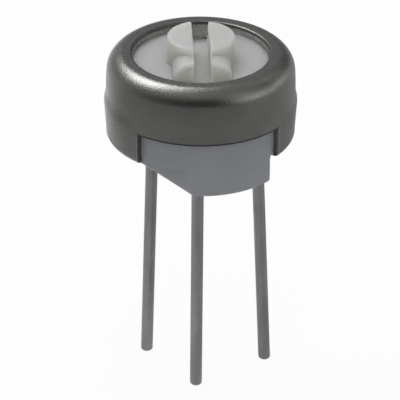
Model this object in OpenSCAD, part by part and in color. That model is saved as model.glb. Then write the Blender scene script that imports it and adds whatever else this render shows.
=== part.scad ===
// Round single-turn sealed trimmer potentiometer, sizes in millimetres.
// The board touches the foot at z = 0 and the rotor turns about the z axis.

/* [Cap] */
// Outside diameter of the drawn metal cap
cap_d = 7.87; // [7:0.01:9.5]
// Thickness of the cap's sheet
cap_sheet = 0.25; // [0.2:0.01:0.3]
// Outside round of the cap's shoulder
cap_shoulder_r = 0.72; // [0.6:0.01:0.76]
// Width of the cap's top from its wall to the access hole
cap_rim_w = 1.095; // [1:0.005:1.3]
// Round on the access hole's upper edge
lip_r = 0.1; // [0.05:0.01:0.2]
// Depth of the collar turned down round the access hole
collar_h = 0.78; // [0.7:0.01:0.85]
// Height of the two side windows above the base plate's underside
window_h = 1.3; // [1:0.01:1.5]
// Angle that each side window spans
window_angle = 97; // [80:1:110]
// Direction of the middle of the front window
window_mid_angle = -75.5; // [-95:0.5:-60]
// Inward reach of the crimped leg at the foot of each tab
crimp_reach = 0.38; // [0.2:0.01:0.45]

/* [Base] */
// Height of the foot below the base plate
foot_h = 1.2; // [0.9:0.01:1.5]
// Thickness of the base plate
plate_t = 1.0; // [0.8:0.01:1.2]
// Radial thickness of the cup wall
cup_t = 0.36; // [0.3:0.01:0.42]
// Height of the cup wall above the ceramic disc
cup_lip = 0.1; // [0.08:0.01:0.14]
// Distance of each flat side of the foot inside the plate's edge
foot_flat_in = 1.22; // [0.9:0.01:1.4]
// Direction across the foot's flat sides
foot_angle = 45; // [35:1:55]
// Rounded lower edge of the foot
foot_edge_r = 0.14; // [0.08:0.01:0.25]
// Distance that the foot is cut back under the tabs
foot_trim_in = 0.71; // [0.5:0.01:0.74]
// Angle by which that cut back is wider than a tab, each side
foot_trim_angle = 6; // [3:1:10]
// Width of the well round each lead at the seat
well_gap = 0.12; // [0.08:0.01:0.15]
// Depth of the well round each lead
well_depth = 0.4; // [0.2:0.01:0.6]
// Half the angle of the raised stop on the cup wall
stop_half_angle = 32.5; // [28:0.5:33]
// Height of the raised stop above the cup wall
stop_h = 0.34; // [0.3:0.01:0.4]

/* [Rotor] */
// Direction of the rotor as shown, from the middle of its travel
rotor_angle = 9.7; // [-40:0.1:40]
// Width of the open ring between the hub and the access hole
hub_gap = 1.44; // [1.3:0.01:1.6]
// Height of the hub's top above the cap's top
hub_proud = 0.75; // [0.6:0.01:0.9]
// Round on the hub's upper edge
hub_edge_r = 0.1; // [0.05:0.01:0.2]
// Width of the screwdriver slot
slot_w = 0.7; // [0.5:0.01:0.9]
// Height of the slot's floor above the seal groove
slot_web = 0.11; // [0.1:0.01:0.2]
// Width of each cheek beside the slot
cheek_w = 0.69; // [0.5:0.01:0.75]
// Distance that the cheeks stand out from the hub
cheek_proud = 0.55; // [0.4:0.01:0.6]
// Drop of the cheeks' tops below the hub's top
cheek_drop = 0.4; // [0.3:0.01:0.45]
// Round on the cheeks' upper corners
cheek_round = 0.3; // [0.2:0.01:0.35]
// Depth of the disc's top below the cap's top
disc_sunk = 0.33; // [0.28:0.01:0.38]
// Width of the channel across the disc in which the hub and cheeks stand
channel_w = 2.44; // [2.3:0.01:2.6]
// Depth of that channel
channel_depth = 0.27; // [0.2:0.01:0.3]
// Thickness of the flange above the seal
flange_t = 0.06; // [0.05:0.005:0.07]
// Round on the upper disc's edge
disc_edge_r = 0.1; // [0.05:0.01:0.15]
// Thickness of the rim below the seal
rim_t = 0.13; // [0.1:0.01:0.2]
// Half the angle of the rotor's stop lug
lug_half_angle = 12; // [8:0.5:12.5]
// Diameter of the seal ring's section
seal_d = 0.52; // [0.5:0.01:0.56]

/* [Wiper] */
// Thickness of the wiper's spring sheet
wiper_t = 0.06; // [0.04:0.005:0.08]
// Width of the wiper's plate
wiper_plate_w = 2.0; // [1.8:0.01:2.2]
// Length of the wiper's plate
wiper_plate_l = 0.62; // [0.54:0.01:0.66]
// Distance of the plate's middle behind the axis
wiper_plate_back = 1.0; // [0.95:0.01:1.05]
// Width of each spring finger
finger_w = 0.3; // [0.2:0.01:0.34]
// Distance between a side finger's middle and the middle finger's
finger_step = 0.45; // [0.4:0.01:0.5]
// Radius of the rounded contact at each finger's end
contact_r = 0.08; // [0.07:0.005:0.1]
// Radius of the stakes that hold the wiper
stake_r = 0.14; // [0.1:0.01:0.17]
// Radius of the stakes' heads
stake_head_r = 0.23; // [0.2:0.01:0.26]
// Thickness of the stakes' heads
stake_head_t = 0.08; // [0.05:0.01:0.1]

/* [Element] */
// Thickness of the ceramic disc
substrate_t = 0.65; // [0.5:0.01:0.8]
// Thickness of the printed layers
print_t = 0.03; // [0.02:0.005:0.04]
// Width of the resistive track
track_w = 0.5; // [0.4:0.01:0.6]
// Gap between the resistive track and the nearest lead's pad
track_gap = 0.04; // [0.03:0.01:0.08]
// Half the angle of the resistive track
track_half_angle = 129; // [120:1:130]
// Angle that each end pad covers
end_pad_angle = 12; // [8:1:16]
// Width of the ring of print round each lead's hole
lead_pad_w = 0.13; // [0.1:0.01:0.15]
// Gap between the track and the arcs that join its ends to the leads
joiner_gap = 0.2; // [0.1:0.01:0.25]
// Width of those arcs
joiner_w = 0.45; // [0.3:0.01:0.5]
// Gap between the collector and the track
collector_gap = 0.43; // [0.3:0.01:0.5]
// Width of the collector's trace
trace_w = 0.5; // [0.4:0.01:0.6]

/* [Leads] */
// Diameter of each lead
lead_d = 0.51; // [0.44:0.01:0.56]
// Diameter of each lead's shank inside the base
shank_d = 0.6; // [0.58:0.01:0.66]
// Length of the shank below the board seat
shank_below = 0.15; // [0.12:0.01:0.3]
// Length of the lead inside its shank
shank_overlap = 0.3; // [0.2:0.01:0.4]
// Distance of the end leads' pattern inside the cup wall
lead_in = 1.066; // [1:0.001:1.2]
// Distance of the wiper's lead inside the cup wall
lead_front_in = 1.1; // [1:0.01:1.2]
// Offset of the lead pattern from the cap's axis
lead_shift = 0.187; // [0:0.001:0.2]
// Length of the leads below the board seat
lead_below = 9.65; // [3:0.01:15]
// Outward lean of lead one
lead_1_angle = 1.4; // [0:0.01:2]
// Outward lean of the wiper's lead
lead_2_angle = 2.02; // [0:0.01:3]
// Sideways lean of the wiper's lead
lead_2_side_angle = 0.1; // [0:0.01:1]
// Outward lean of lead three
lead_3_angle = 2.5; // [0:0.01:3]
// Length of each lead's end above the ceramic
lead_above = 0.16; // [0.1:0.01:0.18]
// Height of each solder joint above the ceramic
solder_h = 0.2; // [0.19:0.01:0.24]
// Thickness of each solder joint round the lead's top
solder_wall = 0.06; // [0.055:0.005:0.07]
// Radius of the hollow flank of each solder joint
solder_flank_r = 0.1; // [0.08:0.01:0.1]

/* [Fits] */
// Clearance between the base and the cap's wall
cap_fit = 0.025; // [0.02:0.005:0.04]
// Clearance between the ceramic disc and the cup wall
substrate_fit = 0.02; // [0.01:0.005:0.03]
// Radial clearance of the leads in the base
lead_fit = 0.01; // [0.005:0.005:0.02]
// Radial clearance of the leads in the ceramic disc
lead_ceramic_fit = 0.05; // [0.03:0.005:0.05]
// Clearance between the rotor's flange and the collar's end
rotor_top_fit = 0.03; // [0.02:0.005:0.03]
// Clearance between the rotor's disc and the collar
disc_fit = 0.03; // [0.02:0.005:0.04]
// Clearance between the rotor and what it turns past
rotor_run_fit = 0.05; // [0.03:0.005:0.06]
// Clearance between the seal ring and the cap's wall
seal_fit = 0.02; // [0.01:0.005:0.03]
// Side clearance of the seal ring in its groove
seal_side_fit = 0.01; // [0.005:0.005:0.02]
// Clearance between the wiper's contacts and the prints
contact_fit = 0.005; // [0.003:0.001:0.01]

/* [Hidden] */
round_fn = 96;
small_fn = 48;
half_turn = 180;
quarter_turn = 90;
// Radii, from the cap inwards
cap_r = cap_d / 2;
cap_in_r = cap_r - cap_sheet;
hole_r = cap_r - cap_rim_w;
bend_out_r = cap_sheet + cap_fit;
crimp_r = cap_r - bend_out_r - crimp_reach;
base_r = cap_in_r - cap_fit;
cup_in_r = base_r - cup_t;
substrate_r = cup_in_r - substrate_fit;
foot_half_w = base_r - foot_flat_in;
foot_trim_r = base_r - foot_trim_in;
rim_r = cap_in_r - rotor_run_fit;
groove_r = cap_in_r - seal_fit - seal_d;
flange_r = groove_r + seal_d / 2;
disc_r = hole_r - disc_fit;
hub_r = hole_r - hub_gap;
cheek_half_w = slot_w / 2 + cheek_w;
cheek_reach = hub_r + cheek_proud;
// Leads and their places
lead_r = lead_d / 2;
shank_r = shank_d / 2;
lead_hole_r = shank_r + lead_ceramic_fit;
lead_pad_r = lead_hole_r + lead_pad_w;
well_r = shank_r + well_gap;
lead_side = cup_in_r - lead_in;
lead_front = cup_in_r - lead_front_in;
lead_xy = [[lead_shift - lead_side, 0], [lead_shift, -lead_front], [lead_shift + lead_side, 0]];
solder_r = shank_r + solder_wall + solder_flank_r;
// Printed element
track_r_out = lead_side - lead_shift - lead_pad_r - track_gap;
track_r_in = track_r_out - track_w;
collector_r = track_r_in - collector_gap;
joiner_r_in = track_r_out + joiner_gap;
joiner_r_out = joiner_r_in + joiner_w;
// Heights, from the board upwards
plate_z = foot_h;
plate_top_z = plate_z + plate_t;
substrate_top_z = plate_top_z + substrate_t;
print_top_z = substrate_top_z + print_t;
lead_top_z = substrate_top_z + lead_above;
cup_top_z = substrate_top_z + cup_lip;
stop_top_z = cup_top_z + stop_h;
lug_low_z = cup_top_z + rotor_run_fit;
rotor_low_z = stop_top_z + rotor_run_fit;
rim_top_z = rotor_low_z + rim_t;
groove_w = seal_d + 2 * seal_side_fit;
groove_top_z = rim_top_z + groove_w;
slot_floor_z = groove_top_z + slot_web;
flange_top_z = groove_top_z + flange_t;
collar_low_z = flange_top_z + rotor_top_fit;
cap_top_z = collar_low_z + collar_h;
cap_in_top_z = cap_top_z - cap_sheet;
rotor_top_z = cap_top_z - disc_sunk;
channel_z = rotor_top_z - channel_depth;
hub_top_z = cap_top_z + hub_proud;
cheek_top_z = hub_top_z - cheek_drop;
window_top_z = plate_z + window_h;
// Wiper
wiper_low_z = rotor_low_z - wiper_t;
plate_front = wiper_plate_l / 2 - wiper_plate_back;
contact_track_r = (track_r_in + track_r_out) / 2;
contact_track_y = sqrt(contact_track_r * contact_track_r - finger_step * finger_step);
contact_mid_share = 0.25;
contact_mid_y = collector_r * contact_mid_share;
contact_z = print_top_z + contact_fit + contact_r;
// Directions
tab_angle = half_turn - window_angle;
window_start = window_mid_angle - window_angle / 2;
tab_start = window_mid_angle + window_angle / 2;
stop_dir = -quarter_turn;
lug_dir = quarter_turn;
cut_over = cap_sheet;

// Flat shape of a round-shouldered solid of revolution
module shoulder_2d(r, low, top, edge) {
    translate([0, low]) square([r, top - edge - low]);
    translate([0, low]) square([r - edge, top - low]);
    translate([r - edge, top - edge]) circle(r = edge, $fn = small_fn);
}

// Ring sector that starts at one direction and spans an angle
module sector(r_in, r_out, low, top, start, span) {
    rotate([0, 0, start])
        rotate_extrude(angle = span, $fn = round_fn)
            translate([r_in, low]) square([r_out - r_in, top - low]);
}

// Upright round bar between two heights
module post(r, low, top, fn) {
    translate([0, 0, low]) cylinder(r = r, h = top - low, $fn = fn);
}

// Flat shape of the cap's wall, shoulder and turned-down collar
module cap_2d() {
    difference() {
        shoulder_2d(cap_r, plate_z + bend_out_r, cap_top_z, cap_shoulder_r);
        shoulder_2d(cap_in_r, plate_z, cap_in_top_z, cap_shoulder_r - cap_sheet);
        translate([0, plate_z]) square([hole_r + cap_sheet, cap_top_z - plate_z + cut_over]);
    }
    translate([hole_r, collar_low_z]) square([cap_sheet, cap_top_z - lip_r - collar_low_z]);
    translate([hole_r + lip_r, collar_low_z]) square([cap_sheet - lip_r, cap_top_z - collar_low_z]);
    translate([hole_r + lip_r, cap_top_z - lip_r]) circle(r = lip_r, $fn = small_fn);
}

// Flat shape of the leg crimped under the base plate
module crimp_2d() {
    translate([cap_r - bend_out_r, plate_z + bend_out_r])
        difference() {
            intersection() {
                circle(r = bend_out_r, $fn = small_fn);
                translate([0, -bend_out_r]) square([bend_out_r, bend_out_r]);
            }
            circle(r = cap_fit, $fn = small_fn);
        }
    translate([crimp_r, plate_z]) square([crimp_reach, cap_sheet]);
}

// Drawn metal cap with its access hole, two windows and two crimped tabs
module metal_cap() {
    color([0.6, 0.59, 0.56]) {
        difference() {
            rotate_extrude($fn = round_fn) cap_2d();
            for (turn = [0, half_turn])
                sector(cap_in_r - cut_over, cap_r + cut_over, plate_z, window_top_z, window_start + turn, window_angle);
        }
        for (turn = [0, half_turn])
            rotate([0, 0, tab_start + turn])
                rotate_extrude(angle = tab_angle, $fn = round_fn) crimp_2d();
    }
}

// Round part of the foot with a rounded lower edge
module foot_round() {
    rotate_extrude($fn = round_fn) {
        translate([0, foot_edge_r]) square([base_r, plate_z - foot_edge_r]);
        square([base_r - foot_edge_r, plate_z]);
        translate([base_r - foot_edge_r, foot_edge_r]) circle(r = foot_edge_r, $fn = small_fn);
    }
}

// Long bar that gives the foot its two flat sides
module foot_bar() {
    flat = foot_half_w - foot_edge_r;
    rotate([0, 0, foot_angle])
        rotate([quarter_turn, 0, 0])
            linear_extrude(height = 2 * cap_d, center = true) {
                translate([-foot_half_w, foot_edge_r]) square([2 * foot_half_w, plate_z - foot_edge_r]);
                translate([-flat, 0]) square([2 * flat, plate_z]);
                for (side = [-1, 1])
                    translate([side * flat, foot_edge_r]) circle(r = foot_edge_r, $fn = small_fn);
            }
}

// Moulded base: foot, plate, cup wall and stop
module base() {
    color([0.86, 0.88, 0.9])
        difference() {
            union() {
                difference() {
                    intersection() {
                        foot_round();
                        foot_bar();
                    }
                    for (turn = [0, half_turn])
                        sector(foot_trim_r, cap_r, -cut_over, plate_z,
                            tab_start + turn - foot_trim_angle, tab_angle + 2 * foot_trim_angle);
                }
                post(base_r, plate_z, plate_top_z, round_fn);
                difference() {
                    post(base_r, plate_top_z, cup_top_z, round_fn);
                    post(cup_in_r, plate_top_z, cup_top_z + cut_over, round_fn);
                }
                sector(cup_in_r, base_r, cup_top_z, stop_top_z, stop_dir - stop_half_angle, 2 * stop_half_angle);
            }
            for (turn = [0, half_turn])
                sector(crimp_r - cap_fit, cap_r, plate_z - cut_over, plate_z + cap_sheet,
                    tab_start + turn, tab_angle);
            for (at = lead_xy)
                translate([at[0], at[1], 0]) {
                    post(shank_r + lead_fit, -cut_over, plate_top_z + cut_over, small_fn);
                    post(well_r, -cut_over, well_depth, small_fn);
                }
        }
}

// Flat shape of the cheeks on either side of the slot
module cheek_2d() {
    low = channel_z - rotor_run_fit;
    flat = cheek_half_w - cheek_round;
    translate([-cheek_half_w, low]) square([2 * cheek_half_w, cheek_top_z - cheek_round - low]);
    translate([-flat, low]) square([2 * flat, cheek_top_z - low]);
    for (side = [-1, 1])
        translate([side * flat, cheek_top_z - cheek_round]) circle(r = cheek_round, $fn = small_fn);
}

// Moulded rotor: hub, slot, seal groove, stop lug and stakes
module rotor() {
    color([0.95, 0.95, 0.93])
        rotate([0, 0, rotor_angle]) {
            difference() {
                union() {
                    difference() {
                        rotate_extrude($fn = round_fn) {
                            translate([0, rotor_low_z]) square([rim_r, rim_t]);
                            translate([0, rotor_low_z]) square([groove_r, groove_top_z - rotor_low_z]);
                            translate([0, groove_top_z]) square([flange_r, flange_t]);
                            shoulder_2d(disc_r, groove_top_z, rotor_top_z, disc_edge_r);
                        }
                        translate([-channel_w / 2, -cap_d, channel_z]) cube([channel_w, 2 * cap_d, cap_top_z]);
                    }
                    rotate_extrude($fn = round_fn) shoulder_2d(hub_r, slot_floor_z, hub_top_z, hub_edge_r);
                    rotate([quarter_turn, 0, 0])
                        linear_extrude(height = 2 * cheek_reach, center = true) cheek_2d();
                }
                translate([-slot_w / 2, -cap_d, slot_floor_z]) cube([slot_w, 2 * cap_d, cap_top_z]);
            }
            sector(cup_in_r, rim_r, lug_low_z, rotor_low_z, lug_dir - lug_half_angle, 2 * lug_half_angle);
            for (side = [-1, 1])
                translate([side * (wiper_plate_w / 2 - stake_head_r), -wiper_plate_back, 0]) {
                    post(stake_r, wiper_low_z, rotor_low_z, small_fn);
                    post(stake_head_r, wiper_low_z - stake_head_t, wiper_low_z, small_fn);
                }
        }
}

// Rubber ring that seals the rotor to the cap
module rotor_seal() {
    color([0.12, 0.12, 0.13])
        rotate_extrude($fn = round_fn)
            translate([groove_r + seal_d / 2, rim_top_z + groove_w / 2])
                circle(d = seal_d, $fn = small_fn);
}

// One sloping spring finger and its rounded contact
module finger(x, y_end) {
    rise = wiper_low_z + wiper_t / 2 - contact_z;
    run = y_end - plate_front;
    slope = atan(rise / run);
    reach = sqrt(rise * rise + run * run);
    translate([x - finger_w / 2, plate_front, wiper_low_z + wiper_t / 2])
        rotate([-slope, 0, 0])
            translate([0, -wiper_t / 2, -wiper_t / 2]) cube([finger_w, reach + wiper_t / 2, wiper_t]);
    translate([x - finger_w / 2, y_end, contact_z])
        rotate([0, quarter_turn, 0]) cylinder(r = contact_r, h = finger_w, $fn = small_fn);
}

// Stamped spring wiper, staked under the rotor
module wiper() {
    color([0.8, 0.68, 0.42])
        rotate([0, 0, rotor_angle]) {
            difference() {
                translate([-wiper_plate_w / 2, -wiper_plate_back - wiper_plate_l / 2, wiper_low_z])
                    cube([wiper_plate_w, wiper_plate_l, wiper_t]);
                for (side = [-1, 1])
                    translate([side * (wiper_plate_w / 2 - stake_head_r), -wiper_plate_back, 0])
                        post(stake_r, wiper_low_z - wiper_t, rotor_low_z + wiper_t, small_fn);
            }
            for (side = [-1, 1])
                finger(side * finger_step, contact_track_y);
            finger(0, contact_mid_y);
        }
}

// Holes for the three leads through the ceramic disc and its prints
module lead_holes() {
    for (at = lead_xy)
        translate([at[0], at[1], 0])
            post(lead_hole_r, plate_z, cap_top_z, small_fn);
}

// Ceramic disc that carries the printed element
module element_substrate() {
    color([0.93, 0.92, 0.88])
        difference() {
            post(substrate_r, plate_top_z, substrate_top_z, round_fn);
            lead_holes();
        }
}

// Printed resistive track, open towards the wiper's lead
module resistive_track() {
    color([0.16, 0.16, 0.17])
        sector(track_r_in, track_r_out, substrate_top_z, print_top_z, quarter_turn - track_half_angle, 2 * track_half_angle);
}

// Printed conductors from the track's ends to the end leads
module termination_pads() {
    color([0.75, 0.74, 0.7])
        difference() {
            for (end = [0, 1]) {
                at = lead_xy[2 * end];
                start = end == 0 ? quarter_turn + track_half_angle : quarter_turn - track_half_angle - end_pad_angle;
                join = end == 0 ? half_turn : quarter_turn - track_half_angle - end_pad_angle;
                span = track_half_angle - quarter_turn + end_pad_angle;
                sector(track_r_in, joiner_r_out, substrate_top_z, print_top_z, start, end_pad_angle);
                sector(joiner_r_in, joiner_r_out, substrate_top_z, print_top_z, join, span);
                translate([at[0], at[1], 0]) post(lead_pad_r, substrate_top_z, print_top_z, small_fn);
            }
            lead_holes();
        }
}

// Printed collector at the middle and its trace to the wiper's lead
module collector() {
    at = lead_xy[1];
    color([0.75, 0.74, 0.7])
        difference() {
            union() {
                post(collector_r, substrate_top_z, print_top_z, small_fn);
                translate([-trace_w / 2, at[1], substrate_top_z]) cube([trace_w, -at[1], print_t]);
                translate([at[0], at[1], 0]) post(lead_pad_r, substrate_top_z, print_top_z, small_fn);
            }
            lead_holes();
        }
}

// Flat shape of a lead with a rounded end, its bend at height zero
module lead_2d() {
    straight = lead_below - shank_below - lead_r;
    translate([0, -straight]) square([lead_r, straight + shank_overlap]);
    translate([0, -straight])
        intersection() {
            circle(r = lead_r, $fn = small_fn);
            translate([0, -lead_r]) square([lead_r, lead_r]);
        }
}

// One round lead: a thicker upright shank in the base, and a leaning lead below it
module lead(at, lean_x, lean_y) {
    color([0.72, 0.71, 0.68])
        translate([at[0], at[1], -shank_below]) {
            cylinder(r = shank_r, h = lead_top_z + shank_below, $fn = small_fn);
            rotate([lean_x, lean_y, 0])
                rotate_extrude($fn = small_fn) lead_2d();
        }
}

// Lead of the track's left end
module terminal_1() {
    lead(lead_xy[0], 0, lead_1_angle);
}

// Lead of the wiper
module terminal_2() {
    lead(lead_xy[1], -lead_2_angle, -lead_2_side_angle);
}

// Lead of the track's right end
module terminal_3() {
    lead(lead_xy[2], 0, -lead_3_angle);
}

// Solder that joins each lead to its pad
module solder_joints() {
    color([0.7, 0.7, 0.7])
        for (at = lead_xy)
            translate([at[0], at[1], 0])
                rotate_extrude($fn = small_fn)
                    difference() {
                        translate([shank_r, print_top_z]) square([solder_r - shank_r, solder_h - print_t]);
                        translate([solder_r, print_top_z + solder_flank_r]) circle(r = solder_flank_r, $fn = small_fn);
                        translate([solder_r - solder_flank_r, print_top_z + solder_flank_r])
                            square([solder_flank_r, solder_h]);
                    }
}

metal_cap();
base();
rotor();
rotor_seal();
wiper();
element_substrate();
resistive_track();
termination_pads();
collector();
terminal_1();
terminal_2();
terminal_3();
solder_joints();
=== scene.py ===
"""Looks of a small round sealed trimmer: crimped metal cap, moulded base, slotted rotor and tinned leads."""

import logging
import math
from dataclasses import dataclass
from enum import Enum
from functools import lru_cache
from typing import Dict, List, Optional, Sequence, Tuple, Union

import bpy
import numpy as np
from mathutils import Matrix, Vector
from mathutils.geometry import delaunay_2d_cdt


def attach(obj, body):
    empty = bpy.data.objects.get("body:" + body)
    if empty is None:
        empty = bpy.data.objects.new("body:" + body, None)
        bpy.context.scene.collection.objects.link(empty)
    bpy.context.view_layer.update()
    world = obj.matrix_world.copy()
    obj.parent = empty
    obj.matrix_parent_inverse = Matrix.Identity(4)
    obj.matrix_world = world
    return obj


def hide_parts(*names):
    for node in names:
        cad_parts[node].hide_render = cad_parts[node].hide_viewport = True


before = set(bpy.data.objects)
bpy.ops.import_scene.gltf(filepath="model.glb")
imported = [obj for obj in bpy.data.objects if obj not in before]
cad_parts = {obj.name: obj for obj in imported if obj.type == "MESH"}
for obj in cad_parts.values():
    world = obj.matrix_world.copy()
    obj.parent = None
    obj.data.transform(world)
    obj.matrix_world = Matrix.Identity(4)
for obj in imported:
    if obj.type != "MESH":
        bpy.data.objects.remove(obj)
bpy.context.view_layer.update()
LOG = logging.getLogger("trimmer")
MM = 0.001
# Points closer than this, in millimetres, are one point
MERGE_MM = 1e-4
# Plan points closer than this, in millimetres, are one point when a flat is cut into triangles
FLAT_MERGE_MM = 1e-7
# Cosines nearer to nothing than this count as nothing
LEAST_COSINE = 1e-6
Pair = Tuple[float, float]
Triple = Tuple[float, float, float]
Colour = Triple
WHITE: Colour = (1.0, 1.0, 1.0)


class Shows(Enum):
    """Where a lamp shows: in lit surfaces, in mirrors or in both."""

    BOTH = "both"
    LIT = "lit"
    MIRROR = "mirror"


class Body(Enum):
    """The two bodies that the pieces ride on."""

    HOUSING = "housing"
    ROTOR = "rotor"


class Axis(Enum):
    """The way that outlines are laid: plan outlines upwards, or outlines in x and z towards -y."""

    UP = "up"
    FRONT = "front"


def grid_quads(rows: int, cols: int, wrap: bool) -> np.ndarray:
    """Quads of a grid of points stored row after row.

    Args:
        rows: number of rows.
        cols: number of points in a row.
        wrap: whether the last column joins the first.

    Returns:
        Whole number array with four corners for each quad.
    """
    i, j = np.meshgrid(np.arange(rows - 1), np.arange(cols if wrap else cols - 1), indexing="ij")
    k = (j + 1) % cols
    return np.stack([i * cols + j, i * cols + k, (i + 1) * cols + k, (i + 1) * cols + j], -1).reshape(-1, 4)


def smooth_step(x: np.ndarray, low: float, high: float) -> np.ndarray:
    """Smooth rise from 0 at low to 1 at high: 3t squared minus 2t cubed."""
    t = np.clip((x - low) / (high - low), 0.0, 1.0)
    return t * t * (3.0 - 2.0 * t)


def arc(centre: Pair, radius: float, start: float, end: float, count: int) -> np.ndarray:
    """Points on a circle's arc.

    Args:
        centre: middle of the circle.
        radius: radius of the circle.
        start: first direction, degrees.
        end: last direction, degrees.
        count: number of points.

    Returns:
        Array of count points of two coordinates: centre plus radius times (cos a, sin a).
    """
    a = np.radians(np.linspace(start, end, count))
    return np.stack([centre[0] + radius * np.cos(a), centre[1] + radius * np.sin(a)], -1)


def line(start: Sequence[float], end: Sequence[float], count: int) -> np.ndarray:
    """Evenly spaced points from start up to, but not including, end."""
    t = np.linspace(0.0, 1.0, count, endpoint=False)[:, None]
    return np.asarray(start, float) * (1.0 - t) + np.asarray(end, float) * t


def grey(tone: float) -> Colour:
    """A colour with the same share of red, green and blue."""
    return (tone, tone, tone)


def show(name: str, mesh: bpy.types.Mesh, sharp_degrees: float) -> bpy.types.Object:
    """Shade a mesh smooth, but for its sharp edges, and link its object.

    Args:
        name: the object's name.
        mesh: the mesh to show.
        sharp_degrees: edges that bend more than this stay sharp.

    Returns:
        The linked object.
    """
    mesh.shade_smooth()
    mesh.set_sharp_from_angle(angle=math.radians(sharp_degrees))
    obj = bpy.data.objects.new(name, mesh)
    bpy.context.scene.collection.objects.link(obj)
    return obj


class Shell:
    """Gathers numpy surfaces in millimetres and makes one Blender mesh of them."""

    def __init__(self) -> None:
        """Start with no points and no faces."""
        self.points: List[np.ndarray] = []
        self.marks: List[np.ndarray] = []
        self.faces: List[np.ndarray] = []
        self.count = 0

    def add(self, points: np.ndarray, *faces: np.ndarray, mark: Optional[np.ndarray] = None) -> None:
        """Add one surface.

        Args:
            points: array of points of three coordinates.
            faces: arrays of corner numbers, counted from this surface's first point.
            mark: one number for each point, for the material to read; none means zero.
        """
        self.points.append(points.reshape(-1, 3))
        self.marks.append(np.zeros(len(self.points[-1])) if mark is None else mark.reshape(-1))
        self.faces.extend(f + self.count for f in faces)
        self.count += len(self.points[-1])

    def lathe(self, profile: np.ndarray, cols: int = 192) -> None:
        """Carry a profile that starts and ends on the z axis round it: x = r cos a, y = r sin a.

        Args:
            profile: points of radius and height.
            cols: number of steps round the axis.
        """
        a = np.linspace(0.0, 2.0 * np.pi, cols, endpoint=False)
        r, z = profile[:, 0:1], profile[:, 1:2]
        points = np.stack([r * np.cos(a), r * np.sin(a), z + 0.0 * a], -1)
        self.add(points, grid_quads(len(profile), cols, True)[:, ::-1])

    def prism(self, outline: np.ndarray, steps: Sequence[Pair], axis: Axis = Axis.UP) -> None:
        """Carry a closed outline along a straight path, drawn in by an inset at each step.

        A point moves along its corner's mitre by the inset, and the two ends are closed by fans.

        Args:
            outline: points of the outline, anticlockwise.
            steps: pairs of inset and place along the path.
            axis: the way that the outline is carried.
        """
        side = np.roll(outline, -1, 0) - outline
        after = np.stack([-side[:, 1], side[:, 0]], -1) / np.linalg.norm(side, axis=1, keepdims=True)
        before = np.roll(after, 1, 0)
        inward = (after + before) / (1.0 + (after * before).sum(1, keepdims=True))
        inset = np.array([s[0] for s in steps])[:, None, None]
        self.stack(outline[None] + inward[None] * inset, [s[1] for s in steps], axis)

    def stack(self, outlines: np.ndarray, places: Sequence[float], axis: Axis = Axis.UP) -> None:
        """Join outlines laid one after another along an axis and close the two ends with fans.

        Args:
            outlines: array of outlines, each the same number of anticlockwise points.
            places: place of each outline along the axis.
            axis: the way that the outlines are laid.
        """
        place = np.asarray(places, float)[:, None, None]
        rows = np.concatenate([outlines, np.broadcast_to(place, outlines.shape[:2] + (1,))], -1)
        ends = rows[[0, -1]].mean(1)
        points = np.concatenate([rows.reshape(-1, 3), ends])
        if axis is Axis.FRONT:
            points = points[:, [0, 2, 1]] * np.array([1.0, -1.0, 1.0])
        n, last = outlines.shape[1], (len(outlines) - 1) * outlines.shape[1]
        j = np.arange(n)
        k = (j + 1) % n
        low = np.stack([np.full(n, len(points) - 2), k, j], -1)
        top = np.stack([np.full(n, len(points) - 1), last + j, last + k], -1)
        self.add(points, grid_quads(len(outlines), n, True), low, top)

    def turned(self, degrees: float) -> None:
        """Turn all points gathered so far about the z axis.

        Args:
            degrees: angle of the turn, anticlockwise seen from above.
        """
        c, s = math.cos(math.radians(degrees)), math.sin(math.radians(degrees))
        spin = np.array([[c, s, 0.0], [-s, c, 0.0], [0.0, 0.0, 1.0]])
        self.points = [p @ spin for p in self.points]

    def piece(self, name: str, sharp_degrees: float = 35.0) -> bpy.types.Object:
        """Make the mesh object, with unused points left out and doubles merged.

        A quad with one side of no length becomes a triangle, and one with two is left out.

        Args:
            name: the piece's name.
            sharp_degrees: edges that bend more than this stay sharp.

        Returns:
            The linked object, at the origin, with its place in its mesh.
        """
        points = np.concatenate(self.points) * MM
        key = np.round(points / (MM * MERGE_MM)).astype(np.int64)
        _, first, same = np.unique(key, axis=0, return_index=True, return_inverse=True)
        same = same.reshape(-1)
        blocks: List[np.ndarray] = []
        for block in self.faces:
            corners = same[block]
            if block.shape[1] == 4:
                double = corners == np.roll(corners, -1, 1)
                thin = double.sum(1) == 1
                blocks += [corners[~double.any(1)], corners[thin][~double[thin]].reshape(-1, 3)]
            else:
                blocks.append(corners)
        used = np.unique(np.concatenate([block.ravel() for block in blocks]))
        faces = [face for block in blocks for face in np.searchsorted(used, block).tolist()]
        mesh = bpy.data.meshes.new(name)
        mesh.from_pydata(points[first][used].tolist(), [], faces)
        mark = mesh.attributes.new("mark", "FLOAT", "POINT")
        mark.data.foreach_set("value", np.concatenate(self.marks)[first][used].astype(np.float32))
        return show(name, mesh, sharp_degrees)


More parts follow.
